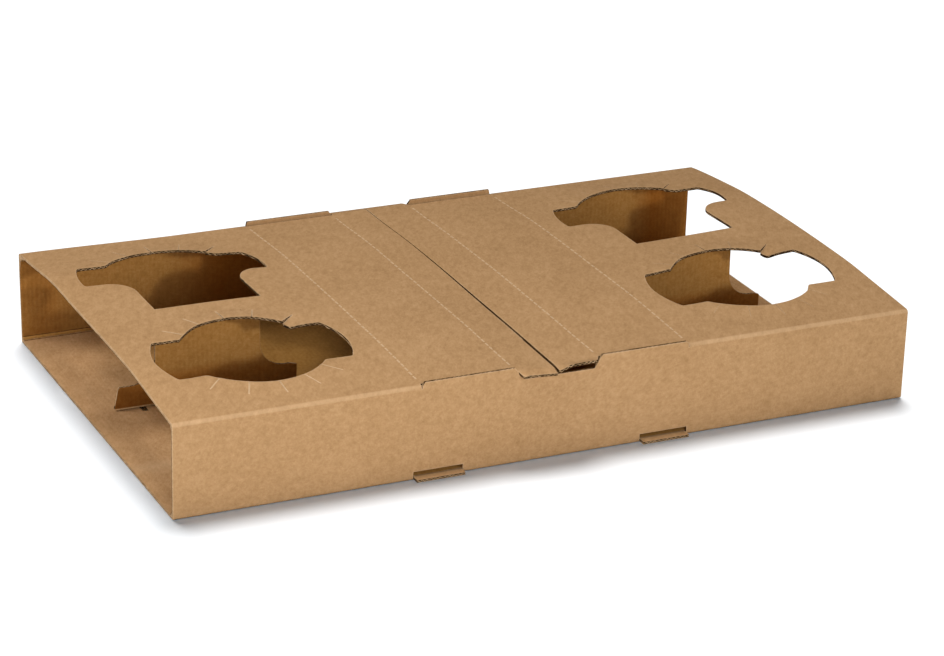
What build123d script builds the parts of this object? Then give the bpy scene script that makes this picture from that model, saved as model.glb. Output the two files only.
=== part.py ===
from build123d import *
import math
import os

# Four-cup carrier: one die-cut sheet of fine-flute corrugated board, folded at
# four long creases into a flat sleeve that is open at both ends.
# Millimetres, +Z up. Origin: centre of the footprint, on the surface it rests on.
# X runs along the open-ended length, -Y is the front wall.

# ---- driving dimensions ----------------------------------------------------
length = 400.0            # along X, open end to open end
depth = 235.0             # along Y, outside of front wall to outside of back wall
height = 49.3             # outside height at the two walls
board = 1.5               # sheet thickness
fold_out = 1.9            # outside radius of a folded crease
fold_in = 0.5             # inside radius of a folded crease

# the top panel bows up between its two creases, most at the open ends
bow_left = 5.3            # rise at X = -length/2
bow_mid = 0.9             # rise at the centre cut
bow_right = 5.6           # rise at X = +length/2
bow_knee = 60.0           # straight from each wall to here, then an arc across
bow_knee_share = 0.86     # share of the rise reached at the knee

# cup openings
cup_x = 136.3             # cup centres, left and right
cup_y = 53.5              # cup centres, front and back
cup_r = 37.75             # the round part
wing_r = 50.0             # the side wings end on this circle
wing_h = 21.8             # half the width of the wings
wing_fillet = 4.0         # where the round part meets a wing
wing_corner = 1.2

# relief slits round the cup openings
slit_step = 22.0          # degrees between slits
slit_out = 49.0           # radius at the slit's outer end
kerf = 0.4                # width of a closed cut

# divider flaps: the cut-outs of the back openings, folded down at a crease
hinge_y = 10.5            # crease, front side of each back opening
neck_half = 28.0          # half the width of the flap's neck
arm_y = 50.3              # where the arms of the flat flap begin
neck_round = 14.0         # rounding between neck and arms
flap_foot_gap = 0.35      # the flap's lower edge stands this far off the floor panel

# the two centre doors and their lock tabs
door_hinge = 72.7         # outer door creases, +-X
tab_hinge = 22.8          # inner door creases, +-X
strip_rise = 2.5          # wall strip left standing beside each door
strip_slant = 1.5
door_gap = 1.0            # open gap between a wall strip and the door's edge
tab_len = 5.2             # lock tab beyond the crease
tab_taper = 2.8
tab_droop = {"front_left": 38.0, "front_right": 2.0, "back_left": 14.0, "back_right": 2.0}

# slots at the foot of both walls, which take the lock tabs
slot_in = 48.5            # +-X, inner end
slot_out_x = 75.1         # +-X, outer end
slot_h = 4.2              # top of the slot above the floor
lip = 3.8                 # the floor panel's lip stands out this far past the wall

# small notch in the floor panel in front of each flap's foot
nick_x = 170.3
nick_y = 7.6
nick = (3.2, 5.6)

# door creases: a row of short cuts right through the sheet
perf_w = 0.35
perf_cut = 2.7
perf_pitch = 4.9

half_l = length / 2
half_w = depth / 2


def bow_at(x):
    end = bow_left if x < 0 else bow_right
    return bow_mid + (end - bow_mid) * abs(x) / half_l


def envelope(rise, inset):
    """Closed outline of the folded sheet in a plane across X."""
    w = half_w - inset
    r = fold_out if inset == 0 else fold_in
    lo = inset
    zt = height - inset
    knee_z = zt + rise * bow_knee_share
    with BuildLine() as outline:
        Line((-(w - r), lo), (w - r, lo))
        RadiusArc((w - r, lo), (w, lo + r), -r)
        Line((w, lo + r), (w, zt - r))
        RadiusArc((w, zt - r), (w - r, zt), -r)
        Line((w - r, zt), (bow_knee, knee_z))
        ThreePointArc((bow_knee, knee_z), (0, zt + rise), (-bow_knee, knee_z))
        Line((-bow_knee, knee_z), (-(w - r), zt))
        RadiusArc((-(w - r), zt), (-w, zt - r), -r)
        Line((-w, zt - r), (-w, lo + r))
        RadiusArc((-w, lo + r), (-(w - r), lo), -r)
    return outline.line


stations = [(-half_l, bow_left), (0.0, bow_mid), (half_l, bow_right)]

# ---- envelopes: outside and inside of the folded sheet -----------------------
with BuildPart() as outside:
    for x, rise in stations:
        with BuildSketch(Plane.YZ.offset(x)):
            add(envelope(rise, 0.0))
            make_face()
    loft(ruled=True)

with BuildPart() as inside:
    for x, rise in stations:
        with BuildSketch(Plane.YZ.offset(x * 1.001)):
            add(envelope(rise, board))
            make_face()
    loft(ruled=True)

# ---- cup openings ------------------------------------------------------------
with BuildPart() as front_openings:
    with BuildSketch(Plane.XY.offset(height - 12)) as front_cut:
        for sx in (-1, 1):
            with BuildSketch(mode=Mode.PRIVATE) as one:
                Circle(wing_r)
                Rectangle(3 * wing_r, 2 * wing_h, mode=Mode.INTERSECT)
                corners = one.vertices()
                fillet(corners, wing_corner)
                Circle(cup_r)
                joins = [v for v in one.vertices()
                         if abs(abs(v.Y) - wing_h) < 0.01 and abs(v.X) < cup_r]
                fillet(joins, wing_fillet)
            with Locations((sx * cup_x, -cup_y)):
                add(one.sketch)
    extrude(amount=30)

with BuildPart() as back_openings:
    with BuildSketch(Plane.XY.offset(height - 12)) as back_cut:
        for sx in (-1, 1):
            with BuildSketch(mode=Mode.PRIVATE) as one:
                lo = arm_y - cup_y
                Circle(wing_r)
                with Locations((0, (lo + wing_h) / 2)):
                    Rectangle(3 * wing_r, wing_h - lo, mode=Mode.INTERSECT)
                fillet(one.vertices(), wing_corner)
                with BuildSketch(mode=Mode.PRIVATE) as disc:
                    Circle(cup_r)
                    with Locations((0, lo + cup_r)):
                        Rectangle(3 * wing_r, 2 * cup_r, mode=Mode.INTERSECT)
                add(disc.sketch)
                joins = [v for v in one.vertices()
                         if abs(v.Y - wing_h) < 0.01 and abs(v.X) < cup_r]
                fillet(joins, wing_fillet)
                neck_lo = hinge_y - cup_y
                with Locations((0, (neck_lo + lo) / 2)):
                    Rectangle(2 * neck_half, lo - neck_lo)
                necks = [v for v in one.vertices()
                         if abs(v.Y - lo) < 0.01 and abs(abs(v.X) - neck_half) < 0.01]
                fillet(necks, neck_round)
            with Locations((sx * cup_x, cup_y)):
                add(one.sketch)
    extrude(amount=30)

# ---- relief slits round each opening -------------------------------------------
with BuildPart() as slits:
    with BuildSketch(Plane.XY.offset(height - 12)):
        for sx in (-1, 1):
            for cy, starts in ((-cup_y, (90, 270)), (cup_y, (90,))):
                for mid in starts:
                    with Locations((sx * cup_x, cy)):
                        with PolarLocations((cup_r + slit_out - 1) / 2, 5,
                                            start_angle=mid - 2 * slit_step,
                                            angular_range=4 * slit_step, endpoint=True):
                            Rectangle(slit_out - cup_r + 1, kerf * 0.8)
    extrude(amount=30)

# ---- divider flaps -----------------------------------------------------------
with BuildPart() as flaps:
    for sx in (-1, 1):
        crease_z = height + bow_at(sx * cup_x)
        arm_top = crease_z - (arm_y - hinge_y)
        foot = board + flap_foot_gap
        ring_z = crease_z - (cup_y - hinge_y)
        with BuildSketch(Plane.XZ.offset(-(hinge_y))):
            with BuildSketch(mode=Mode.PRIVATE) as flat:
                with Locations((0, ring_z)):
                    Circle(wing_r - kerf / 2)
                with Locations((0, (arm_top - kerf / 2 + foot) / 2)):
                    Rectangle(3 * wing_r, arm_top - kerf / 2 - foot, mode=Mode.INTERSECT)
                fillet([v for v in flat.vertices() if v.Y > foot + 1], wing_corner)
                with Locations((0, (arm_top - 1 + crease_z + 4) / 2)):
                    Rectangle(2 * neck_half - kerf, crease_z + 4 - arm_top + 1)
                necks = [v for v in flat.vertices()
                         if abs(v.Y - (arm_top - kerf / 2)) < 0.05
                         and abs(abs(v.X) - (neck_half - kerf / 2)) < 0.05]
                fillet(necks, neck_round)
            with Locations((sx * cup_x, 0)):
                add(flat.sketch)
        extrude(amount=board)
    add(outside.part, mode=Mode.INTERSECT)

# ---- the four lock tabs of the doors --------------------------------------------
def tab(side, left, droop_deg):
    """One lock tab: the door's sheet carried on over the wall and bent by droop."""
    t = math.radians(droop_deg)
    bend = half_w - 0.9
    tip = (bend + tab_len * math.cos(t), height - tab_len * math.sin(t))
    tip_low = (tip[0] - board * math.sin(t), tip[1] - board * math.cos(t))
    bend_low = (bend - board * math.tan(t / 2), height - board)
    x0 = kerf / 2
    with BuildPart() as one:
        with BuildSketch(Plane.YZ):
            with BuildLine():
                Polyline((side * (half_w - 3.2), height), (side * bend, height),
                         (side * tip[0], tip[1]), (side * tip_low[0], tip_low[1]),
                         (side * bend_low[0], bend_low[1]),
                         (side * (half_w - 3.2), height - board), close=True)
            make_face()
        extrude(amount=-(tab_hinge) if left else tab_hinge)
        with BuildSketch(Plane.XY.offset(height - 20)):
            with BuildLine():
                s = -1 if left else 1
                Polyline((s * x0, side * (half_w - 4)),
                         (s * (tab_hinge - 0.3), side * (half_w - 4)),
                         (s * (tab_hinge - 0.3), side * bend),
                         (s * (tab_hinge - 0.3 - tab_taper), side * (half_w + tab_len + 1)),
                         (s * x0, side * (half_w + tab_len + 1)), close=True)
            make_face()
        extrude(amount=40, mode=Mode.INTERSECT)
    return one.part


# ---- everything that is cut away at the walls ------------------------------------
strip_lo = door_hinge
strip_hi = tab_hinge
with BuildPart() as wall_cuts:
    # notch over the lock tabs, front and back
    for side in (-1, 1):
        with BuildSketch(Plane.XZ.offset(-side * (half_w + 1))):
            with BuildLine():
                Polyline((-tab_hinge, height + 3), (-tab_hinge, height),
                         (-(tab_hinge - tab_taper), height - tab_len),
                         (tab_hinge - tab_taper, height - tab_len),
                         (tab_hinge, height), (tab_hinge, height + 3), close=True)
            make_face()
        extrude(amount=side * 4.0)
        # the door's edge stands back from the wall strip
        for s in (-1, 1):
            xm = s * (strip_lo + strip_hi) / 2
            wide = strip_lo - strip_hi
            y1 = half_w + 1
            y0 = half_w - board - door_gap
            with Locations((xm, side * (y0 + y1) / 2, height + 0.5)):
                Box(wide, y1 - y0, 7.0)
        # slots at the foot of the wall
        for s in (-1, 1):
            xm = s * (slot_in + slot_out_x) / 2
            with Locations((xm, side * (half_w - 0.2), slot_h / 2)):
                Box(slot_out_x - slot_in, 2 * board + 1.4, slot_h)
    # cut between the two doors
    with Locations((0, 0, height + 2)):
        Box(kerf, depth + 20, 12)
    # nicks in the floor
    for s in (-1, 1):
        with Locations((s * nick_x, nick_y, board / 2)):
            Box(nick[0], nick[1], 3 * board)

# ---- what stands at the walls once they are cut -----------------------------------
with BuildPart() as wall_parts:
    for side in (-1, 1):
        for s in (-1, 1):
            # raised strips
            with BuildSketch(Plane.XZ.offset(-side * half_w)):
                with BuildLine():
                    Polyline((s * strip_hi, height - 4.2), (s * strip_lo, height - 4.2),
                             (s * strip_lo, height),
                             (s * (strip_lo - strip_slant), height + strip_rise),
                             (s * (strip_hi + strip_slant), height + strip_rise),
                             (s * strip_hi, height), close=True)
                make_face()
            extrude(amount=side * board)
            # floor lip through the slot
            xm = s * (slot_in + slot_out_x) / 2
            with Locations((xm, side * (half_w + lip - 3.5), board / 2)):
                Box(slot_out_x - slot_in - 2 * kerf, 7.0, board)

# ---- the door creases' perforations -------------------------------------------------
with BuildPart() as perforations:
    n = int((depth - 14) / perf_pitch)
    for x in (-door_hinge, -tab_hinge, tab_hinge, door_hinge):
        with Locations((x, 0, height)):
            with GridLocations(1, perf_pitch, 1, n):
                Box(perf_w, perf_cut, 14)

# ---- the folded sheet ----------------------------------------------------------------
with BuildPart() as cup_carrier:
    add(outside.part)
    add(inside.part, mode=Mode.SUBTRACT)
    add(front_openings.part, mode=Mode.SUBTRACT)
    add(back_openings.part, mode=Mode.SUBTRACT)
    add(slits.part, mode=Mode.SUBTRACT)
    add(perforations.part, mode=Mode.SUBTRACT)
    add(wall_cuts.part, mode=Mode.SUBTRACT)
    add(wall_parts.part)
    add(tab(-1, True, tab_droop["front_left"]))
    add(tab(-1, False, tab_droop["front_right"]))
    add(tab(1, True, tab_droop["back_left"]))
    add(tab(1, False, tab_droop["back_right"]))
    add(flaps.part)

cup_carrier.part.label = "cup_carrier"

os.makedirs("parts", exist_ok=True)
export_step(cup_carrier.part, "parts/cup_carrier.step")
bb = cup_carrier.part.bounding_box()
print("solids", len(cup_carrier.part.solids()), "volume cm3", round(cup_carrier.part.volume / 1000, 2))
print("box", [round(v, 2) for v in (bb.min.X, bb.min.Y, bb.min.Z, bb.max.X, bb.max.Y, bb.max.Z)])
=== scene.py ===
import math

import bpy
import numpy as np
from mathutils import Matrix, Vector
from mathutils.geometry import delaunay_2d_cdt


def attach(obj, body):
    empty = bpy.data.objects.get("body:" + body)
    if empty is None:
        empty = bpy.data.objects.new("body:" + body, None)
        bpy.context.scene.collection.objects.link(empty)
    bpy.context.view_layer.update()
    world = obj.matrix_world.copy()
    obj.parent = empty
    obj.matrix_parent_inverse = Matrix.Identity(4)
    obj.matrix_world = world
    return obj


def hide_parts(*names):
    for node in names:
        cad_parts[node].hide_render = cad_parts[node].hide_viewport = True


# Four-cup carrier of fine-flute corrugated board. The die-cut blank is laid out
# flat in (u, v), with u along the carrier and v round its girth, then folded:
# every point of the blank has a place in the folded sheet. Work is in
# millimetres until a mesh is made. Two liners and the fluted medium between
# them are real sheets of paper, so the cut edges show open flutes.

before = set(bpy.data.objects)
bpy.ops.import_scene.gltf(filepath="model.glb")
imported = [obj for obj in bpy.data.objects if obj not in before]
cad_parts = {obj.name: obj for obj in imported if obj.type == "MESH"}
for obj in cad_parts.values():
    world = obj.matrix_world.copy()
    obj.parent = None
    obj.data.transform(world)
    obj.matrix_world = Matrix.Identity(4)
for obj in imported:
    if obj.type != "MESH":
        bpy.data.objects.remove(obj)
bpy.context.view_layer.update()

# ---- sizes ------------------------------------------------------------------
HALF_L, HALF_W, H = 200.0, 117.5, 49.3
BOARD = 1.5
LINER = 0.20
FLUTE_PITCH = 2.4
FLUTE_PAPER = 0.32
R_OUT = 1.9                         # outside radius of a folded crease
T0 = HALF_W - R_OUT                 # flat part of top and floor ends here
ARC = R_OUT * math.pi / 2
A1 = T0 + ARC                       # wall starts (from the top)
A2 = A1 + H - 2 * R_OUT             # wall ends
A3 = A2 + ARC                       # floor starts
SEAM = 60.0                         # the girth is closed here, inside the floor panel
V_LO = -(A3 + (T0 - SEAM))
V_HI = A3 + (T0 + SEAM)

BOW_L, BOW_M, BOW_R = 5.3, 0.9, 5.6
CUP_X, CUP_Y, CUP_R = 136.3, 53.5, 37.5
WING_R, WING_H = 50.0, 21.8
SLIT_OUT = 49.0
HINGE = 10.5 - R_OUT                # flap's bend starts here
NECKS = {-1: (-27.3, 29.4), 1: (-27.8, 30.4)}    # the two flaps are not cut quite alike
ARM_Y = 50.3
HOLE_ARM = {-1: 48.3, 1: 46.6}
NECK_ROUND = 13.0
FOOT = BOARD + 0.6
F_OUT, F_IN = 72.7, 22.8            # outer and inner door creases
SLOT_A, SLOT_B, SLOT_H, LIP = 48.5, 75.1, 4.2, 3.8
CUT_X = -1.7                        # the centre cut is a little off the middle


def smooth(t):
    t = np.clip(t, 0.0, 1.0)
    return t * t * (3 - 2 * t)


# ---- the bowed top panel -------------------------------------------------------
def bow(x):
    end = np.where(x < 0, BOW_L, BOW_R)
    return BOW_M + (end - BOW_M) * np.sqrt((x / HALF_L) ** 2 + 0.0016)


def profile(y):
    a = np.abs(y)
    line = 0.86 * (T0 - a) / (T0 - 60.0)
    crown = 0.86 + 0.14 * (1 - (y / 60.0) ** 2)
    k = 0.10
    h = np.clip(0.5 + 0.5 * (crown - line) / k, 0, 1)
    return crown * (1 - h) + line * h - k * h * (1 - h)


# how the rim of each cup opening stands up or hangs down at its slits, in mm:
# (cup side, cup row, arc side) -> angle from +-Y, lift just before, lift just after
RIMS = {
    (-1, -1, 1): [(-60, 0, 0), (-44, .3, .35), (-22, .8, .8), (0, 1.0, 1.15), (22, 1.35, 1.2), (46, .9, -.3), (51, -1.4, -1.4), (58, -.3, -.3), (64, 0, 0)],
    (1, -1, 1): [(-66, 0, 0), (-54, .8, .8), (-44, .7, .7), (-22, .5, .5), (0, .6, .8), (22, 1.0, 1.0), (46, .7, -.5), (51, -1.9, -1.9), (58, -.5, -.5), (64, 0, 0)],
    (-1, 1, 1): [(-60, 0, 0), (-44, .2, .2), (-22, .1, .2), (0, .0, .2), (22, .2, .2), (44, .2, -.4), (57, 0, 0)],
    (1, 1, 1): [(-60, 0, 0), (-44, .4, .3), (-22, .5, .4), (0, .6, .6), (22, .5, .5), (44, .4, 0), (57, 0, 0)],
    (-1, -1, -1): [(-60, .2, .2), (-44, .8, .9), (-22, 1.1, 1.0), (0, .75, .8), (22, .75, .7), (44, .5, .4), (57, 0, 0)],
    (1, -1, -1): [(-60, 0, 0), (-44, .5, .6), (-22, 1.0, .9), (0, .8, .9), (22, .8, .8), (44, .4, .3), (57, 0, 0)],
}


def rim_lift(x, y):
    """Lift of the top panel near the slit rims."""
    out = np.zeros_like(x)
    for (sx, row, arc), knots in RIMS.items():
        dx, dy = x - sx * CUP_X, y - row * CUP_Y
        r = np.hypot(dx, dy)
        # angle from +-Y, positive towards +X
        ang = np.degrees(np.arctan2(dx, dy * arc))
        fall = smooth((SLIT_OUT + 3.0 - r) / (SLIT_OUT + 3.0 - CUP_R))
        lift = np.zeros_like(x)
        for (a0, _, l0), (a1, l1, _) in zip(knots, knots[1:]):
            m = (ang >= a0) & (ang < a1)
            t = (ang - a0) / (a1 - a0)
            lift = np.where(m, l0 * (1 - t) + l1 * t, lift)
        near = (r < SLIT_OUT + 3.0) & (r > CUP_R - 4)
        out = out + np.where(near, lift * fall, 0)
    return out


def door_sag(x, y):
    """The doors' inner leaves hang a little towards the centre cut."""
    lean = np.where(x < CUT_X, (x + F_IN) / (F_IN + CUT_X), (F_IN - x) / (F_IN - CUT_X))
    lean = np.clip(lean, 0, 1)
    left = 1.5 * smooth((80.0 - y) / 190.0)
    right = 0.5 * smooth((60.0 - y) / 170.0)
    return -lean * np.where(x < CUT_X, left, right)


def waves(x, y):
    """The sheet is never quite flat."""
    return (0.16 * np.sin(x / 31.0 + 0.6) * np.cos(y / 27.0)
            + 0.10 * np.sin(x / 14.0 + y / 19.0)) * smooth((T0 - np.abs(y)) / 25.0)


def propped(x, y):
    """The standing flaps push the panel up a little."""
    left = 1.1 * smooth((x + 175) / 60.0) * smooth((-76 - x) / 25.0)
    left = left * np.exp(-((y - 10) / np.where(y < 10, 36.0, 28.0)) ** 2)
    back = 1.9 * (0.55 + 0.45 * smooth((x + 200) / 16.0)) * smooth((-76 - x) / 50.0)
    left = (left + back * np.exp(-((y - 66) / 24.0) ** 2)) * smooth((T0 - y) / 20.0)
    right = 0.8 * (1 - 0.5 * smooth((x - 186) / 14.0)) * smooth((x - 105) / 45.0)
    right = right * smooth((y + 20) / 70.0) * smooth((T0 - y) / 30.0)
    return left + right


def top_z(x, y):
    return H + bow(x) * profile(y) + propped(x, y) + rim_lift(x, y) + door_sag(x, y) + waves(x, y)


def top_frame(x, y, w):
    """Point w below the top panel's outside face."""
    e = 0.4
    z = top_z(x, y)
    gx = (bow(x + e) * profile(y) - bow(x - e) * profile(y)) / (2 * e)
    gy = bow(x) * (profile(y + e) - profile(y - e)) / (2 * e)
    gx = gx + (propped(x + e, y) - propped(x - e, y)) / (2 * e)
    gy = gy + (propped(x, y + e) - propped(x, y - e)) / (2 * e)
    n = np.stack([-gx, -gy, np.ones_like(x)], 1)
    n /= np.linalg.norm(n, axis=1)[:, None]
    return np.stack([x, y, z], 1) - n * w[:, None]


# ---- tabs ------------------------------------------------------------------------
TAB_ROOT, TAB_TIP = T0, T0 + 5.95
TAB_REAL = 6.2


def tab_half(a, back=False):
    """Half width of a tab pair at distance a from the middle."""
    return 22.5 - np.where(back, 0.9, 2.8) * (a - T0) / 5.95


def tab_droop(u, side):
    """Final droop in degrees at u."""
    left = 14 + 22 * smooth((-18.3 - u) / 3.5) if side < 0 else 12 + 0 * u
    right = 9 - 24 * smooth((u - CUT_X - 0.5) / 7.0) if side < 0 else 12 + 0 * u
    return np.where(u < CUT_X, left, right)


def tab_point(u, a, w, side):
    s = (a - T0) / (TAB_TIP - TAB_ROOT) * TAB_REAL
    phi_max = np.radians(tab_droop(u, side))
    # bend spread over the first 2 mm
    y, z = np.zeros_like(u), np.zeros_like(u)
    steps = 24
    prev = np.zeros_like(u)
    for k in range(steps):
        s0 = s * (k + 0.5) / steps
        phi = phi_max * smooth(s0 / 2.2)
        y += np.cos(phi) * s / steps
        z -= np.sin(phi) * s / steps
        prev = phi
    phi = phi_max * smooth(s / 2.2)
    root = top_z(u, np.full_like(u, side * T0))
    return np.stack([u, side * (T0 + y - np.sin(phi) * w), root + z - np.cos(phi) * w], 1)


# ---- the folding map ----------------------------------------------------------------
def fold(u, v, w):
    """Places of blank points (u, v), w inside the outer face. Main sheet, not the flaps."""
    u, v, w = (np.asarray(t, float) for t in (u, v, w))
    w = np.broadcast_to(w, u.shape).copy()
    P = np.zeros((len(u), 3))
    s = np.where(v < 0, -1.0, 1.0)
    a = np.abs(v)
    au = np.abs(u)
    doors = au < F_OUT
    in_tab = (a > T0) & (a < 121.72) & (au < tab_half(a, v > 0) + 0.15)
    in_strip = doors & ~in_tab & (a > 115.2) & (a <= A1) & ((a > T0) | (au > 23.4))
    in_lip = (au > SLOT_A + 0.25) & (au < SLOT_B - 0.25) & (a > 162.0) & (a < A3)

    m = (a <= T0) & ~in_strip
    if m.any():
        P[m] = top_frame(u[m], v[m], w[m])
    m = in_tab
    for side in (-1, 1):
        k = m & (s == side)
        if k.any():
            P[k] = tab_point(u[k], a[k], w[k], side)
    m = in_strip
    if m.any():
        z = H - R_OUT + (A1 - a[m]) * (np.where(s[m] > 0, np.where(u[m] < 0, 3.9, 4.3), 3.4) / (A1 - 115.4))
        P[m] = np.stack([u[m], s[m] * (HALF_W - w[m]), z], 1)
    m = (a > T0) & (a <= A1) & ~in_tab & ~in_strip
    if m.any():
        t = (a[m] - T0) / R_OUT
        r = R_OUT - w[m]
        P[m] = np.stack([u[m], s[m] * (T0 + r * np.sin(t)), H - R_OUT + r * np.cos(t)], 1)
    m = (a > A1) & (a <= A2) & ~in_tab & ~in_lip
    if m.any():
        P[m] = np.stack([u[m], s[m] * (HALF_W - w[m]), H - R_OUT - (a[m] - A1)], 1)
    m = (a > A2) & (a <= A3) & ~in_lip
    if m.any():
        t = (a[m] - A2) / R_OUT
        r = R_OUT - w[m]
        cs, sn = np.clip(np.cos(t), 0, 1) ** 0.42, np.clip(np.sin(t), 0, 1) ** 0.42
        P[m] = np.stack([u[m], s[m] * (T0 + r * cs), R_OUT - r * sn], 1)
    m = in_lip
    if m.any():
        P[m] = np.stack([u[m], s[m] * (T0 + (A3 - a[m]) * (5.7 / (A3 - 162.1))), w[m]], 1)
    m = a > A3
    if m.any():
        P[m] = np.stack([u[m], s[m] * (T0 - (a[m] - A3)), w[m]], 1)
    # the two front slots sit a little left of the back ones
    near = smooth((au - 28) / 12) * smooth((97 - au) / 12) * smooth((a - (A2 - 24)) / 14) * smooth((A3 + 18 - a) / 12)
    P[:, 0] -= 1.45 * near * (v < 0)
    # the sheet's end is not cut quite square at the back right
    short = smooth((u - 140) / 60) * smooth((v - (T0 - 6)) / 16) * smooth((A3 + 40 - v) / 30)
    P[:, 0] -= 1.9 * short
    # the notch beside the left front tab is pushed in against it
    push = smooth((u + 31) / 10) * smooth((-9 - u) / 9) * smooth((a - 116.2) / 4.5) * smooth((131 - a) / 8)
    P[:, 0] += 2.5 * push * (v < 0) * ~in_tab
    # the back wall leans out a little at the left end
    lean = smooth((-u - 110) / 90) * smooth((v - 55) / 55) * (1 - smooth((v - A1) / (A2 - A1)))
    P[:, 1] += 1.4 * lean
    P[:, 2] += 0.6 * lean
    # cuts and creases at the back lie a little further left
    P[:, 0] -= 0.8 * smooth((v - 60) / 50) * smooth((105 - au) / 25) * smooth((A2 - v) / 20)
    return P


def bead(u, v, P):
    """The inner liner's roll along the four folds: the score squeezes it inwards."""
    P = P.copy()
    a, au = np.abs(v), np.abs(u)
    s = np.where(v < 0, -1.0, 1.0)
    key = np.array([-4.0, -2.6, -2.0, -1.55, -1.0, -0.4, 0.0, 0.4, 1.0, 1.55, 2.0, 2.6, 4.0])
    along = np.array([3.6, 2.2, 1.66, 1.58, 1.54, 1.42, 1.30, 1.10, 0.76, 0.40, 0.14, 0.0, 0.0])
    across = along[::-1]
    for lo, hi, low in ((T0, A1, False), (A2, A3, True)):
        mid = (lo + hi) / 2
        d = (a - mid)
        m = np.abs(d) < 4.0
        if not low:
            m &= au > F_OUT
        else:
            m &= ~((au > SLOT_A - 0.3) & (au < SLOT_B + 0.3))
        if not m.any():
            continue
        if low:                     # v runs from wall to floor
            pa = np.interp(-d[m], key, along)      # distance from the wall's inner face
            pb = np.interp(-d[m], key, across)     # height over the floor's inner face
            P[m, 1] = s[m] * (HALF_W - BOARD - pa)
            P[m, 2] = BOARD + pb
        else:                       # v runs from top to wall
            pa = np.interp(d[m], key, along)
            pb = np.interp(d[m], key, across)
            P[m, 1] = s[m] * (HALF_W - BOARD - pa)
            P[m, 2] = H - BOARD - pb
    return P


# ---- the flaps -----------------------------------------------------------------------
def flap_point(u, s, w, cx):
    """s runs down the flap from its bend."""
    root = top_z(u, np.full_like(u, HINGE))
    t = np.clip(s, 0, ARC) / R_OUT
    r = R_OUT - w
    y = HINGE + r * np.sin(t)
    z = root - R_OUT + r * np.cos(t)
    down = np.clip(s - ARC, 0, None)
    mid_root = top_z(np.full(1, cx), np.full(1, HINGE))[0]
    span = mid_root - R_OUT - FOOT
    z = np.where(s > ARC, (root - R_OUT) - down * (root - R_OUT - FOOT) / span, z)
    belly = 0.5 * np.sin(np.clip(down / span, 0, 1) * math.pi)
    return np.stack([u, y + belly, z], 1)


# ---- outlines in the blank ---------------------------------------------------------------
def seg(a, b, step=2.0, last=False):
    a, b = np.array(a, float), np.array(b, float)
    n = max(1, int(round(np.linalg.norm(b - a) / step)))
    t = np.arange(n + (1 if last else 0)) / n
    return [tuple(a + (b - a) * k) for k in t]


def poly(points, step=2.0):
    out = []
    for a, b in zip(points, points[1:] + points[:1]):
        out += seg(a, b, step)
    return out


def arc(c, r, a0, a1, step=1.6):
    n = max(2, int(abs(math.radians(a1 - a0)) * r / step))
    return [(c[0] + r * math.cos(math.radians(a0 + (a1 - a0) * k / n)),
             c[1] + r * math.sin(math.radians(a0 + (a1 - a0) * k / n))) for k in range(n + 1)]


def slit_detour(c, ang, r_in, r_out, half):
    """A cut running out from the arc and back."""
    d = np.array([math.cos(math.radians(ang)), math.sin(math.radians(ang))])
    n = np.array([-d[1], d[0]])
    c = np.array(c)
    rs = np.linspace(r_in, r_out, 6)
    out = [tuple(c + d * r - n * half * (1 - 0.5 * (r - r_in) / (r_out - r_in))) for r in rs]
    out += [tuple(c + d * (r_out + half))]
    out += [tuple(c + d * r + n * half * (1 - 0.5 * (r - r_in) / (r_out - r_in))) for r in rs[::-1]]
    return out


def arc_with_slits(c, r, a0, a1, slits, half=None):
    """Arc from a0 to a1 (increasing), with cuts at the given angles."""
    out = []
    prev = a0
    for k, s in enumerate(slits):
        h = half[k] if half else 0.13
        da = math.degrees(h / r)
        seg_pts = arc(c, r, prev, s - da)
        out += seg_pts[:-1]
        out += slit_detour(c, s, r, SLIT_OUT, h)
        prev = s + da
    out += arc(c, r, prev, a1)
    return out


def fillet_path(points, radii, step=0.8):
    """Closed polygon with rounded corners."""
    out = []
    n = len(points)
    for i in range(n):
        p0, p1, p2 = (np.array(points[j % n], float) for j in (i - 1, i, i + 1))
        r = radii[i]
        if r <= 0:
            out.append(tuple(p1))
            continue
        d0, d1 = (p0 - p1) / np.linalg.norm(p0 - p1), (p2 - p1) / np.linalg.norm(p2 - p1)
        half = math.acos(np.clip(d0 @ d1, -1, 1)) / 2
        t = r / math.tan(half)
        q0, q1 = p1 + d0 * t, p1 + d1 * t
        c = p1 + (d0 + d1) / np.linalg.norm(d0 + d1) * r / math.sin(half)
        a0 = math.atan2(*(q0 - c)[::-1])
        a1 = math.atan2(*(q1 - c)[::-1])
        da = (a1 - a0 + math.pi) % (2 * math.pi) - math.pi
        k = max(2, int(abs(da) * r / step))
        out += [(c[0] + r * math.cos(a0 + da * j / k), c[1] + r * math.sin(a0 + da * j / k)) for j in range(k + 1)]
    return out


def join_angle():
    return math.degrees(math.asin(WING_H / CUP_R))


def side_wing(s, y_from, y_to, n=18, big=WING_R):
    """Points of the wing's end on its large circle, local coordinates."""
    ys = np.linspace(y_from, y_to, n)
    return [(s * math.sqrt(big ** 2 - y * y), y) for y in ys]


# widths of the cuts: most are closed, a few gape
SLIT_HALF = {(-1, -1): [.06, .06, .12, .15, .17], (1, -1): [.06, .06, .06, .08, .09],
             (-1, 1): [.06, .07, .15, .09, .14], (1, 1): [.09, .09, .07, .07, .12]}


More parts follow.
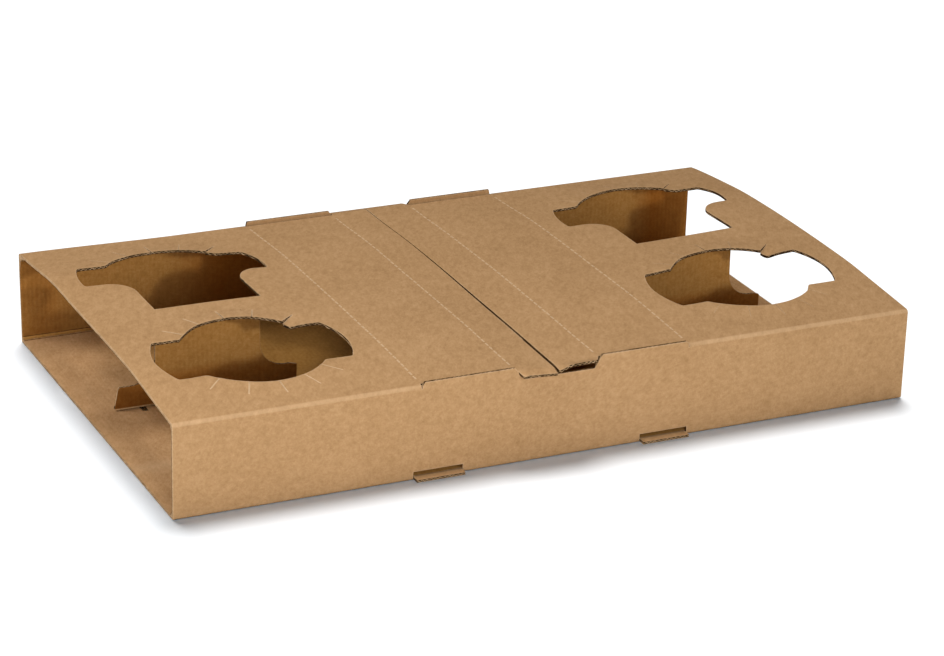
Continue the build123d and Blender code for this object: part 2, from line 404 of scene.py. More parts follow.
def front_hole(sx):
    """Round opening with a wing each side. Local coordinates, anticlockwise."""
    ja = join_angle() + 2.2
    halves = SLIT_HALF[(sx, -1)]
    up = [90 - a for a in (46, 22, 0, -22, -44)]
    path = []
    # right wing, from lower to upper corner
    path += side_wing(1, -WING_H + 0.8, WING_H - 0.8)
    xw = math.sqrt(WING_R ** 2 - WING_H ** 2)
    path += [(xw - 0.5, WING_H)]
    path += wing_join(1, 1, xw)
    path += arc_with_slits((0, 0), CUP_R, ja, 180 - ja, up, halves[::-1])
    path += wing_join(-1, 1, xw)[::-1]
    path += [(-(xw - 0.5), WING_H)]
    path += side_wing(-1, WING_H - 0.8, -WING_H + 0.8)
    path += [(-(xw - 0.5), -WING_H)]
    path += wing_join(-1, -1, xw)
    low = [270 + a for a in (-44, -22, 0, 22, 44)]
    path += arc_with_slits((0, 0), CUP_R, 180 + ja, 360 - ja, low, [.06] * 5)
    path += wing_join(1, -1, xw)[::-1]
    path += [(xw - 0.5, -WING_H)]
    out = []
    for x, y in path:
        ang = math.degrees(math.atan2(x, y))
        if y > WING_H + 0.2 and -58 < ang < -20:      # the round part is cut tighter here
            r = math.hypot(x, y)
            k = (r - 1.3 * float(smooth((-ang - 22) / 25.0))) / r
            x, y = x * k, y * k
        if x < -34 and y > -5:
            x += (1.5 if sx < 0 else 0.8) * float(smooth((y + 5) / 26.0)) * float(smooth((-x - 32) / 6.0))
        if sx > 0 and x > 24 and y < -12:
            x -= 1.5 * float(smooth((-y - 12) / 10.0)) * float(smooth((44.5 - x) / 5.0)) * float(smooth((x - 24) / 6.0))
        out.append((x + sx * CUP_X, y - CUP_Y))
    return out


def wing_join(s, t, xw):
    """From the wing's edge in to the round part, with a 4 mm rounding between."""
    r = 2.2
    # centre of the rounding: above the wing's edge, outside the round part
    cy = WING_H + r
    cx = math.sqrt((CUP_R + r) ** 2 - cy * cy)
    out = seg((xw - 2.5, WING_H), (cx, WING_H), 2.0)
    a0, a1 = -90.0, math.degrees(math.atan2(-cy, -cx))
    if a1 > a0:
        a1 -= 360
    n = 5
    for k in range(n + 1):
        a = math.radians(a0 + (a1 - a0) * k / n)
        out.append((cx + r * math.cos(a), cy + r * math.sin(a)))
    return [(s * x, t * y) for x, y in out]


def back_hole(sx):
    """Round opening and wings, with the neck that the flap leaves."""
    ja = join_angle() + 2.2
    halves = SLIT_HALF[(sx, 1)]
    up = [90 - a for a in (44, 22, 0, -22, -44)]
    lo = HOLE_ARM[sx] - CUP_Y
    hy = HINGE - CUP_Y
    nl, nr = NECKS[sx]
    xw = math.sqrt(WING_R ** 2 - WING_H ** 2)
    path = []
    path += side_wing(1, lo + 1.0, WING_H - 0.8, 12)
    path += [(xw - 0.5, WING_H)]
    path += wing_join(1, 1, xw)
    path += arc_with_slits((0, 0), CUP_R, ja, 180 - ja, up, halves[::-1])
    path += wing_join(-1, 1, xw)[::-1]
    path += [(-(xw - 0.5), WING_H)]
    path += side_wing(-1, WING_H - 0.8, lo + 1.0, 12)
    xl = math.sqrt(WING_R ** 2 - lo * lo)
    r = NECK_ROUND
    path += seg((-(xl - 0.8), lo), (nl - r, lo), 2.0)
    path += arc((nl - r, lo - r), r, 90, 0, 1.5)
    path += seg((nl, lo - r - 1.5), (nl, hy), 2.5)
    path += [(x, hy) for x in np.linspace(nl, nr, 15)]
    path += seg((nr, hy + 2.5), (nr, lo - r), 2.5)
    path += arc((nr + r, lo - r), r, 180, 90, 1.5)
    path += seg((nr + r + 2, lo), (xl - 0.8, lo), 2.0, True)
    out = []
    for x, y in path:
        if sx > 0 and x > nr - 1 and y < WING_H - 0.5 and y > hy + 0.1:
            x -= 1.5 * float(smooth((y - hy) / 30.0)) * (1 - float(smooth((y - lo) / 20.0)))
        if sx < 0 and abs(x) > 36:
            x -= 0.9 * float(smooth((abs(x) - 36) / 8.0))
        out.append((x + sx * CUP_X, y + CUP_Y))
    return out


def doors_cut():
    """Side cuts, tabs, notches and the centre cut, as one closed outline."""
    k, kb = 0.26, 0.20
    wide = [(20.0, 121.88), (22.8, 117.2), (24.3, 115.4)]
    close = [(19.95, 121.75), (22.12, 117.3), (23.5, 115.4)]
    tab = [(19.7, 121.55), (22.5, 115.6), (22.7, 115.0), (72.9, 115.0), (72.9, 118.4), (72.5, 118.4),
           (72.5, 117.2), (71.2, 115.4)]
    close_b = [(21.85, 121.75), (22.5, 117.3), (24.6, 115.4)]
    tab_b = [(21.6, 121.55)] + tab[1:-1] + [(72.0, 115.4)]

    def quarter(notch, sx, sy):
        """From the centre cut out along the tab, and back along the notch."""
        return [(sx * x, sy * y) for x, y in (tab_b if sy > 0 else tab) + notch[::-1]]

    p = [(CUT_X - kb, 121.55)] + quarter(close_b, -1, 1) + quarter(close_b, 1, 1)[::-1] + [(CUT_X + kb, 121.55)]
    p += [(CUT_X + k, -121.55)] + quarter(wide, 1, -1) + quarter(close, -1, -1)[::-1] + [(CUT_X - k, -121.55)]
    return poly(p, 2.0)


def foot_slot(sx, s):
    a, b = SLOT_A, SLOT_B
    p = [(a, A3 - 0.1), (a, A2 - (SLOT_H - R_OUT)), (b, A2 - (SLOT_H - R_OUT)), (b, A3 - 0.1),
         (b - 0.4, A3 - 0.1), (b - 0.4, 162.1), (a + 0.4, 162.1), (a + 0.4, A3 - 0.1)]
    return poly([(sx * x, s * y) for x, y in p], 1.0)


def dash(x, y, length=2.7, wide=0.09):
    return [(x - wide / 2, y - length / 2), (x + wide / 2, y - length / 2), (x + wide / 2, y),
            (x + wide / 2, y + length / 2), (x - wide / 2, y + length / 2), (x - wide / 2, y)]


def nick(sx):
    y0 = A3 + (T0 - 7.6)
    x0 = sx * 170.3
    return poly([(x0 - 1.6, y0 - 2.8), (x0 + 1.7, y0 - 2.6), (x0 + 1.5, y0 + 2.9), (x0 - 1.4, y0 + 2.7)], 1.5)


def ccw(loop):
    p = np.array(loop)
    q = np.roll(p, -1, 0)
    area = (p[:, 0] * q[:, 1] - q[:, 0] * p[:, 1]).sum()
    return loop if area > 0 else loop[::-1]


def clean(loop, tol=0.02):
    out = []
    for p in loop:
        if not out or math.hypot(p[0] - out[-1][0], p[1] - out[-1][1]) > tol:
            out.append((float(p[0]), float(p[1])))
    while math.hypot(out[0][0] - out[-1][0], out[0][1] - out[-1][1]) <= tol:
        out.pop()
    return out


def offset(loop, d):
    """Ring d outside an anticlockwise loop."""
    p = np.array(loop)
    e0 = p - np.roll(p, 1, 0)
    e1 = np.roll(p, -1, 0) - p
    n0 = np.stack([e0[:, 1], -e0[:, 0]], 1) / np.linalg.norm(e0, axis=1)[:, None]
    n1 = np.stack([e1[:, 1], -e1[:, 0]], 1) / np.linalg.norm(e1, axis=1)[:, None]
    m = n0 + n1
    q = (m * m).sum(1)
    m = m * (2 / np.maximum(q, 1.0))[:, None] * 0.5 * 2 / 2
    m = (n0 + n1) / np.maximum((1 + (n0 * n1).sum(1)), 0.6)[:, None]
    return [tuple(t) for t in (p + m * d)]


def inside(points, loop):
    """Even-odd test of many points against one loop."""
    p = np.asarray(points)
    q = np.asarray(loop)
    x0, y0 = q[:, 0], q[:, 1]
    x1, y1 = np.roll(x0, -1), np.roll(y0, -1)
    hit = np.zeros(len(p), bool)
    sel = np.where((p[:, 0] >= x0.min()) & (p[:, 0] <= x0.max()) & (p[:, 1] >= y0.min()) & (p[:, 1] <= y0.max()))[0]
    if not len(sel):
        return hit
    px, py = p[sel, 0][:, None], p[sel, 1][:, None]
    with np.errstate(divide="ignore", invalid="ignore"):
        cross = ((y0 > py) != (y1 > py)) & (px < (x1 - x0) * (py - y0) / (y1 - y0) + x0)
    hit[sel] = cross.sum(1) % 2 == 1
    return hit


def near_loops(points, loops, reach):
    """Mask of points nearer than reach to any loop's points."""
    from mathutils.kdtree import KDTree
    n = sum(len(l) for l in loops)
    tree = KDTree(n)
    i = 0
    for l in loops:
        for x, y in l:
            tree.insert((x, y, 0), i)
            i += 1
    tree.balance()
    return np.array([tree.find((x, y, 0))[2] < reach for x, y in points])


# ---- the blank's mesh ---------------------------------------------------------------------
big_cuts = [ccw(clean(h)) for h in (front_hole(-1), front_hole(1), back_hole(-1), back_hole(1))]
door_cut = ccw(clean(doors_cut()))
slots = [ccw(clean(foot_slot(sx, s))) for sx in (-1, 1) for s in (-1, 1)]
nicks = [ccw(clean(nick(s))) for s in (-1, 1)]
dashes = []
rng = np.random.default_rng(7)
count = int((2 * HALF_W - 14) / 4.9)
for x in (-F_OUT, -F_IN, F_IN, F_OUT):
    for k in range(count):
        y = (k - (count - 1) / 2) * 4.9
        dashes.append(ccw(clean(dash(x + rng.normal(0, .04), y + rng.normal(0, .08), 2.7 + rng.normal(0, .15)))))
holes = big_cuts + [door_cut] + slots + nicks + dashes
RING = 0.45
rings = [offset(h, RING) for h in big_cuts + [door_cut] + slots + nicks] + [offset(h, 0.58) for h in dashes]

ROWS_A = [T0 + ARC * k / 6 for k in range(7)]
ROWS_B = [A2 + ARC * k / 6 for k in range(7)]
EXTRA_A = [T0 - 2.4, T0 - 1.6, T0 - .9, T0 - .4, A1 + .4, A1 + .9, A1 + 1.6, A1 + 2.4]
EXTRA_B = [A2 - 2.4, A2 - 1.6, A2 - .9, A2 - .4, A3 + .4, A3 + .9, A3 + 1.6, A3 + 2.4]


def v_rows():
    rows = set()
    for s in (-1, 1):
        rows.update(s * r for r in ROWS_A + ROWS_B + EXTRA_A + EXTRA_B)
        rows.update(s * (A1 + k) for k in (8.0, 16.0, 24.0, 32.0, 39.0))
    rows.update(np.linspace(-108, 108, 28))
    rows.update(-(A3 + k) for k in np.linspace(8, T0 - SEAM - 8, 4))
    rows.update(A3 + k for k in np.linspace(8, T0 + SEAM - 8, 13))
    return sorted(rows)


ROWS = v_rows()


def build_blank():
    pts, edges = [], []

    def add_loop(loop, closed=True):
        base = len(pts)
        pts.extend(loop)
        n = len(loop)
        edges.extend((base + i, base + (i + 1) % n) for i in range(n if closed else n - 1))

    edge_rows = sorted(set([V_LO, V_HI] + ROWS))
    us = np.linspace(-HALF_L, HALF_L, 51)
    border = [(HALF_L, v) for v in edge_rows] + [(u, V_HI) for u in us[::-1][1:-1]]
    border += [(-HALF_L, v) for v in edge_rows[::-1]] + [(u, V_LO) for u in us[1:-1]]
    add_loop(border)
    for side in (-1, 1):
        add_loop([(side * (HALF_L - RING), v) for v in edge_rows], closed=False)
    for h in holes + rings:
        add_loop(h)
    # inner points
    grid = []
    for j, v in enumerate(ROWS):
        off = 0.0
        grid += [(u + off, v) for u in us[1:-1]]
    # finer rings of points round the openings
    for sx in (-1, 1):
        for row in (-1, 1):
            for r, n in ((39.6, 90), (42.0, 80), (45.0, 72), (48.5, 60), (52.5, 50), (57.0, 44)):
                for k in range(n):
                    a = 2 * math.pi * (k + (r % 2) / 2) / n
                    grid.append((sx * CUP_X + r * math.cos(a), row * CUP_Y + r * math.sin(a)))
    # a finer field near the centre cut
    for x in (-18, -13, -8, -4, -1.5, 1.5, 4, 8, 13, 18):
        grid += [(x, y) for y in np.linspace(-112, 112, 33)]
    # and in the lock tabs
    for side in (-1, 1):
        for a in (115.05, T0, 116.1, 116.7, 117.4, 118.2, 119.0, 119.8, 120.6):
            for x in np.arange(-20.25, 21, 1.5):
                if abs(x) < tab_half(max(a, T0)) - 0.8:
                    grid.append((x, side * a))
    grid = np.array(grid)
    tab = (np.abs(grid[:, 0]) < 22.6) & (np.abs(grid[:, 1]) > 114.8) & (np.abs(grid[:, 1]) < 121.5)
    neat = tab & np.isin(np.round(np.abs(grid[:, 0]) % 1.5, 4), (0.75,))
    grid = grid[~tab | neat]
    rough = [h for h in big_cuts + [door_cut] + slots + nicks]
    keep = np.ones(len(grid), bool)
    for h in rough:
        keep &= ~inside(grid, h)
    row_pts = np.isin(np.round(np.abs(grid[:, 1]), 5), np.round(np.array(ROWS_A + ROWS_B + EXTRA_A + EXTRA_B), 5))
    close = near_loops(grid, rough + dashes + rings, 1.3)
    close &= ~((np.abs(grid[:, 0]) < 22.6) & (np.abs(grid[:, 1]) > 114.8) & (np.abs(grid[:, 1]) < 121.5))
    very = near_loops(grid, rough + dashes + rings, 0.25)
    keep &= ~np.where(row_pts, very, close)
    keep &= np.abs(grid[:, 0]) < HALF_L - 1.2
    grid = grid[keep]
    _, first = np.unique(np.round(grid, 3), axis=0, return_index=True)
    pts.extend(map(tuple, grid[np.sort(first)]))
    out = delaunay_2d_cdt([Vector(p) for p in pts], edges, [], 0, 1e-5)
    V = np.array([tuple(p) for p in out[0]])
    F = np.array([tuple(f) for f in out[2] if len(f) == 3])
    c = V[F].mean(1)
    ok = (np.abs(c[:, 0]) < HALF_L) & (c[:, 1] > V_LO) & (c[:, 1] < V_HI)
    for h in holes:
        ok &= ~inside(c, h)
    F = F[ok]
    # anticlockwise
    p, q, r = V[F[:, 0]], V[F[:, 1]], V[F[:, 2]]
    area = (q[:, 0] - p[:, 0]) * (r[:, 1] - p[:, 1]) - (r[:, 0] - p[:, 0]) * (q[:, 1] - p[:, 1])
    F[area < 0] = F[area < 0][:, ::-1]
    F = F[np.abs(area) > 1e-7]
    # which triangles are a rim: inside a ring
    c = V[F].mean(1)
    rim = np.abs(c[:, 0]) > HALF_L - RING
    for r_ in rings[:-len(dashes)]:
        rim |= inside(c, r_)
    crease = np.zeros(len(F), bool)
    for r_ in rings[-len(dashes):]:
        crease |= inside(c, r_)
    return V, F, rim, crease


def flap_outline(side):
    """Local x, s down from the bend, for a flap whose bend is at height root."""
    root = float(top_z(np.full(1, CUP_X), np.full(1, HINGE))[0])
    crease_z = H + float(BOW_M + (BOW_L - BOW_M) * CUP_X / HALF_L)
    s_of = lambda z: root - R_OUT + ARC - z
    arm_s = s_of(crease_z - (ARM_Y - 10.5) - 0.2)
    foot_s = s_of(FOOT)
    ring_s = s_of(crease_z - (CUP_Y - 10.5))
    k = 0.2
    nl, nr = NECKS[side]
    r = NECK_ROUND
    path = [(x, 0.0) for x in np.linspace(nl, nr, 15)]
    nl, nr = nl + k, nr - k
    path += [(nr, s) for s in (0.6, 1.2, 1.8, 2.4, ARC)] + seg((nr, ARC + 2), (nr + .5, arm_s - r), 2.5)
    path += arc((nr + .5 + r, arm_s - r), r, 180, 90, 1.5)
    xe = math.sqrt((WING_R - k) ** 2 - (arm_s + 1.0 - ring_s) ** 2)
    path += seg((nr + r + 2, arm_s), (xe - 1.2, arm_s), 2.0)
    ys = np.linspace(arm_s + 0.9, foot_s, 8)
    ends = [(math.sqrt((WING_R - k) ** 2 - (y - ring_s) ** 2), y) for y in ys]
    path += ends
    path += seg((ends[-1][0] - 2, foot_s), (-(ends[-1][0] - 2), foot_s), 2.5, True)
    if side < 0:                    # this arm's end is cut on the slant
        path += [(-(46.9 + 2.1 * (y - ys[0]) / (ys[-1] - ys[0])), y) for x, y in ends[::-1]]
        xe = 47.6
    else:
        path += [(-x, y) for x, y in ends[::-1]]
    path += seg((-(xe - 1.2), arm_s), (nl - r - 2, arm_s), 2.0, True)
    path += arc((nl - r, arm_s - r), r, 90, 0, 1.5)
    path += seg((nl, arm_s - r - 1.5), (nl, ARC + 2), 2.5) + [(nl, s) for s in (ARC, 2.4, 1.8, 1.2, 0.6)]
    return ccw(clean(path)), foot_s


def build_flap(side):
    loop, foot_s = flap_outline(side)
    inner = [(x * 1.0, y) for x, y in offset(loop, -RING)]
    pts = list(loop)
    n = len(loop)
    edges = [(i, (i + 1) % n) for i in range(n)]
    base = len(pts)
    pts += inner
    edges += [(base + i, base + (i + 1) % n) for i in range(n)]
    grid = [(x, s) for x in np.arange(-46, 47, 4.0) for s in list(np.arange(ARC + 3, foot_s - 2, 4.0))]
    grid += [(x, ARC * k / 6) for x in np.linspace(-24, 24, 13) for k in range(1, 7)]
    grid = np.array(grid)
    grid = grid[inside(grid, loop) & ~near_loops(grid, [loop, inner], 0.5)]
    pts += list(map(tuple, grid))
    out = delaunay_2d_cdt([Vector(p) for p in pts], edges, [], 0, 1e-5)
    V = np.array([tuple(p) for p in out[0]])
    F = np.array([tuple(f) for f in out[2] if len(f) == 3])
    c = V[F].mean(1)
    F = F[inside(c, loop)]
    p, q, r = V[F[:, 0]], V[F[:, 1]], V[F[:, 2]]
    area = (q[:, 0] - p[:, 0]) * (r[:, 1] - p[:, 1]) - (r[:, 0] - p[:, 0]) * (q[:, 1] - p[:, 1])
    F[area < 0] = F[area < 0][:, ::-1]
    F = F[np.abs(area) > 1e-7]
    c = V[F].mean(1)
    rim = ~inside(c, inner) & (c[:, 1] > RING)
    return V, F, rim, loop


V, F, RIM, CREASE = build_blank()
FLAPS = {side: build_flap(side) for side in (-1, 1)}

# one list of blank points: kind 0 main sheet, -1 and 1 the left and right flap
(FV0, FF0, FR0, _), (FV1, FF1, FR1, _) = FLAPS[-1], FLAPS[1]
U_ = np.concatenate([V[:, 0], FV0[:, 0] - CUP_X, FV1[:, 0] + CUP_X])
V_ = np.concatenate([V[:, 1], FV0[:, 1], FV1[:, 1]])
K_ = np.concatenate([np.zeros(len(V), int), np.full(len(FV0), -1), np.full(len(FV1), 1)])
TRI = np.concatenate([F, FF0 + len(V), FF1 + len(V) + len(FV0)])
RIM_ = np.concatenate([RIM, FR0, FR1])
CREASE_ = np.concatenate([CREASE, np.zeros(len(FF0) + len(FF1), bool)])


def weld():
    """The girth's two ends meet, and each flap's root is the edge of its opening."""
    keys = {}
    remap = np.arange(len(U_))
    for i in range(len(U_)):
        if K_[i] == 0:
            if abs(V_[i] - V_LO) < 1e-6 or abs(V_[i] - V_HI) < 1e-6:
                k = ("seam", round(U_[i], 3))
            elif abs(V_[i] - HINGE) < 1e-6:
                k = ("root", round(U_[i], 3))
            else:
                continue
        elif abs(V_[i]) < 1e-6:
            k = ("root", round(U_[i], 3))
        else:
            continue
        remap[i] = keys.setdefault(k, i)
    return remap


TRI = weld()[TRI]
used = np.unique(TRI)
new = np.full(len(U_), -1)
new[used] = np.arange(len(used))
U_, V_, K_ = U_[used], V_[used], K_[used]
TRI = new[TRI]


def free_edges(tri):
    e = np.concatenate([tri[:, [0, 1]], tri[:, [1, 2]], tri[:, [2, 0]]])
    key = np.sort(e, 1)
    _, inv, cnt = np.unique(key, axis=0, return_inverse=True, return_counts=True)
    return e[cnt[inv.ravel()] == 1]


BORDER = free_edges(TRI)
on_border = np.zeros(len(U_), bool)
on_border[BORDER.ravel()] = True


def place(u, v, k, w):
    P = np.zeros((len(u), 3))
    w = np.broadcast_to(np.asarray(w, float), u.shape)
    m = k == 0
    P[m] = fold(u[m], v[m], w[m])
    for s in (-1, 1):
        m = k == s
        if m.any():
            P[m] = flap_point(u[m], v[m], w[m], s * CUP_X)
    return P


CRUSH = 0.05                        # the cutting rule presses the edges thinner
w0 = np.where(on_border, CRUSH, 0.0)
w3 = np.where(on_border, BOARD - CRUSH, BOARD)
out_a, out_b = place(U_, V_, K_, w0), place(U_, V_, K_, w0 + LINER)
in_a, in_b = place(U_, V_, K_, w3 - LINER), place(U_, V_, K_, w3)
main = K_ == 0
in_a[main] = bead(U_[main], V_[main], in_a[main])
in_b[main] = bead(U_[main], V_[main], in_b[main])
# the roll's hollow side keeps the paper's thickness
step_back = in_a - in_b
gap = np.linalg.norm(step_back, axis=1)
thin = gap < LINER * 0.5
if thin.any():
    a_ = np.abs(V_)
    s_ = np.where(V_ < 0, -1.0, 1.0)
    top_side = a_ < (A1 + A2) / 2
    diag = np.stack([np.zeros_like(a_), s_, np.where(top_side, 1.0, -1.0)], 1) / math.sqrt(2)
    in_a[thin] = in_b[thin] + diag[thin] * LINER

verts, faces, mats, wears_and_sheen, painted_shades = [], [], [], [], []
M_OUT, M_IN, M_CUT, M_FLUTE_SHADE, M_TOOTH, M_CUT_SHADE, M_CREASE_SHADE, M_FLOOR_LIT = range(8)


SLIT_WEAR = {(-1, -1): 0.9, (1, -1): 0.3, (-1, 1): 0.6, (1, 1): 0.3}


def worn_and_sheen():
    """How scuffed the paper is: cut lines, score dashes and slits are rubbed lighter. Along the top folds the lighter
    band is partly rubbed paper, partly a painted highlight.
    """
    w = np.where(on_border, 0.42, 0.0)
    main = K_ == 0
    au, av = np.abs(U_), np.abs(V_)
    dash_line = (np.minimum(np.abs(au - F_OUT), np.abs(au - F_IN)) < 0.4) & (av < 114.0) & main & on_border
    w[dash_line] = 0.9
    # along the top folds: partly rubbed paper, partly a painted highlight
    fold_sheen = main & (np.abs(av - (T0 + A1) / 2) < 1.1) & (au > F_OUT + 0.5)
    w[fold_sheen] = np.maximum(w[fold_sheen], 0.19)
    middle = main & on_border & (np.abs(U_ - CUT_X) < 0.6)
    w[middle] = 0.42 * smooth((40.0 - V_[middle]) / 60.0) + 0.6 * smooth((V_[middle] - 94.0) / 10.0)
    for sx in (-1, 1):
        for row in (-1, 1):
            dx, dy = U_ - sx * CUP_X, V_ - row * CUP_Y
            r = np.hypot(dx, dy)
            m = main & on_border & (r > CUP_R + 0.4) & (r < SLIT_OUT + 1) & (np.abs(dy) > WING_H + 2.5)
            m &= (np.abs(dx) < 36) & ((row < 0) | (dy > 0))
            w[m] = SLIT_WEAR[(sx, row)]
    return w


def painted_shade_amount():
    """Painted shade: the paper is darkened and browned low on the flaps, in the middle of the floor and in patches
    inside the back wall, where shadows fall.
    """
    # painted shadow on the lower part of the flaps
    low = 0.8 * smooth((V_ - 33.0) / 8.0)
    # painted shade over the floor panel, less towards its lit open ends
    flat = 1.0 - smooth((np.abs(U_) - 120.0) / 55.0)
    # painted shadows inside the back wall where the openings let no light fall, and a darker left end
    back_wall_painted_shadow = np.interp(U_, [-200, -182, -170, -120, -90, 45, 60, 164.4, 172.4, 200], [.55, .55, 0, 0, 1, 1, 0, 0, 1, .8])
    return np.where(K_ != 0, low, np.where((V_ > A1 - 1) & (V_ < A2), back_wall_painted_shadow, flat))


WEAR_AND_SHEEN = worn_and_sheen()
PAINTED_SHADE = painted_shade_amount()


def slab(Pa, Pb, tri, border, mat_a, mat_b, mat_edge):
    """Closed thin sheet between two copies of the blank. Pa is on the outer side."""
    base = sum(len(x) for x in verts)
    n = len(Pa)
    verts.append(Pa)
    verts.append(Pb)
    wears_and_sheen.extend([WEAR_AND_SHEEN, WEAR_AND_SHEEN])
    painted_shades.extend([PAINTED_SHADE, PAINTED_SHADE])
    faces.append(np.column_stack([tri, np.full(len(tri), -1 - base)]) + base)
    mats.append(mat_a)
    faces.append(np.column_stack([tri[:, ::-1] + n, np.full(len(tri), -1 - base)]) + base)
    mats.append(mat_b)
    q = np.column_stack([border[:, 1], border[:, 0], border[:, 0] + n, border[:, 1] + n])
    faces.append(q + base)
    # the outer liner's cut edges round the openings and the door cut are painted near black: painted shade
    u, a = np.abs(U_[border]).min(1), np.abs(V_[border]).max(1)
    hole = (K_[border] == 0).all(1) & (u < HALF_L - 0.1) & (a < 122.0) & ~((a > 115.2) & (u > 23.3))
    mats.append(np.where(hole, M_CUT_SHADE, mat_edge))


outer_mat = np.full(len(TRI), M_OUT)
# the outer liner's face towards the medium is painted near black: painted shade of the flute hollows
slab(out_a, out_b, TRI, BORDER, outer_mat, np.full(len(TRI), M_FLUTE_SHADE), M_CUT)
inner_mat = np.full(len(TRI), M_IN)
mid_v = np.abs(V_[TRI].mean(1))
turn = np.minimum(np.abs(mid_v - (A2 + A3) / 2), np.abs(mid_v - (T0 + A1) / 2))
flat_u = np.abs(U_[TRI].mean(1))
# painted shade in the concave corners beside each fold's inner roll
crease_shade = (K_[TRI].max(1) == 0) & (K_[TRI].min(1) == 0) & (turn > ARC / 2 + 0.38) & (turn < ARC / 2 + 0.92)
crease_shade &= (flat_u < HALF_L - 0.5) & ((mid_v > A2 - 3) | (flat_u > F_OUT + 1))
crease_shade &= ~((flat_u > SLOT_A) & (flat_u < SLOT_B) & (mid_v > 160))
all_main = (K_[TRI] == 0).all(1)
# the floor's inside faces get a paler copy of the inside liner, its look where lit; painted shade browns it towards the
# middle
inner_mat[all_main & (mid_v > A3 - 0.2)] = M_FLOOR_LIT
inner_mat[all_main & (mid_v > 115.1) & (mid_v < A1 + 1.2) & (flat_u < F_OUT)] = M_OUT
# the lips' upper faces (inside liner) take the outside liner's paler colour: painted light, for the lit lips
inner_mat[all_main & (mid_v > 162.0) & (mid_v < A3) & (flat_u > SLOT_A) & (flat_u < SLOT_B)] = M_OUT
inner_mat[crease_shade] = M_CREASE_SHADE
# the inner liner's face towards the medium is painted near black for the flute hollows' shade, and its cut edges get
# painted shade
slab(in_a, in_b, TRI, BORDER, np.full(len(TRI), M_FLUTE_SHADE), inner_mat, M_CUT_SHADE)

# ---- the fluted medium: only where a cut edge lets it be seen ------------------------------
STEP = FLUTE_PITCH / 8
DEPTH = 3.2
AMP = (BOARD - 2 * LINER) / 2 - FLUTE_PAPER / 2 - 0.07


def crossings(u, loops):
    out = []
    for l in loops:
        q = np.asarray(l)
        x0, y0 = q[:, 0], q[:, 1]
        x1, y1 = np.roll(x0, -1), np.roll(y0, -1)
        m = (x0 <= u) != (x1 <= u)
        out += list(y0[m] + (u - x0[m]) / (x1[m] - x0[m]) * (y1[m] - y0[m]))
    return sorted(out)


def plain(loop):
    return loop


def no_slits(loop, c, row):
    """The loop with its relief cuts left out, for the medium."""
    out = []
    for x, y in loop:
        r = math.hypot(x - c[0], y - c[1])
        dy, dx = abs(y - c[1]), abs(x - c[0])
        if r > CUP_R + 0.05 and dy > WING_H + 4.2 and dx < CUP_R * 0.83 and (row < 0 or y > c[1]):
            continue
        out.append((x, y))
    return out


flute_cuts = [no_slits(big_cuts[0], (-CUP_X, -CUP_Y), -1), no_slits(big_cuts[1], (CUP_X, -CUP_Y), -1),
              no_slits(big_cuts[2], (-CUP_X, CUP_Y), 1), no_slits(big_cuts[3], (CUP_X, CUP_Y), 1),
              door_cut] + slots + nicks


def flute_cells(u_lo, u_hi, loops, grid_v, lims, side_loops):
    """Cells (u0, u1, v00, v10, v01, v11) of the medium near cuts."""
    from mathutils.kdtree import KDTree
    pts = [p for l in side_loops for p in l]
    tree = KDTree(len(pts))
    for i, p in enumerate(pts):
        tree.insert((p[0], p[1], 0), i)
    tree.balance()
    n = int(round((u_hi - u_lo) / STEP))
    us = u_lo + STEP * np.arange(n + 1)
    cells = []
    eps = 1e-4
    for i in range(n):
        a, b = us[i] + eps, us[i + 1] - eps
        ca, cb = crossings(a, loops), crossings(b, loops)
        cm = crossings((a + b) / 2, loops)
        if not (len(ca) == len(cb) == len(cm)) or (ca and max(abs(p - q) for p, q in zip(ca, cb)) > 4):
            ca = cb = cm
        if lims is not None:
            ca, cb = [lims[0]] + ca + [lims[1]], [lims[0]] + cb + [lims[1]]
        for j in range(0, len(ca) - 1, 2):
            p0, p1, q0, q1 = ca[j], ca[j + 1], cb[j], cb[j + 1]
            lo_real = not (lims is not None and j == 0)
            hi_real = not (lims is not None and j == len(ca) - 2)
            L = min(p1 - p0, q1 - q0)
            if L < 0.15:
                continue
            inner = [g for g in grid_v if max(p0, q0) + 0.3 < g < min(p1, q1) - 0.3]
            br = [(p0, q0)]
            if lo_real and L > 2 * DEPTH + 1:
                br.append((p0 + DEPTH, q0 + DEPTH))
            if hi_real and L > 2 * DEPTH + 1:
                br.append((p1 - DEPTH, q1 - DEPTH))
            br.append((p1, q1))
            lo_cut = max(p0, q0) + (DEPTH if lo_real and L > 2 * DEPTH + 1 else 0)
            hi_cut = min(p1, q1) - (DEPTH if hi_real and L > 2 * DEPTH + 1 else 0)
            br += [(g, g) for g in inner if not (abs(g - lo_cut) < 0.3 or abs(g - hi_cut) < 0.3)]
            br.sort(key=lambda t: t[0] + t[1])
            for (x0, y0), (x1, y1) in zip(br, br[1:]):
                m = (x0 + x1 + y0 + y1) / 4
                keep = L <= 2 * DEPTH + 1
                keep |= lo_real and m < (p0 + q0) / 2 + DEPTH
                keep |= hi_real and m > (p1 + q1) / 2 - DEPTH
                if not keep:
                    um = (us[i] + us[i + 1]) / 2
                    for t in np.linspace(min(x0, y0), max(x1, y1), 4):
                        if tree.find((um, t, 0))[2] < DEPTH:
                            keep = True
                            break
                if keep and x1 - x0 > 1e-6 and y1 - y0 > 1e-6:
                    cells.append((us[i], us[i + 1], x0, y0, x1, y1))
    return cells


def dense(points, step):
    return seg(points[0], points[1], step, True)


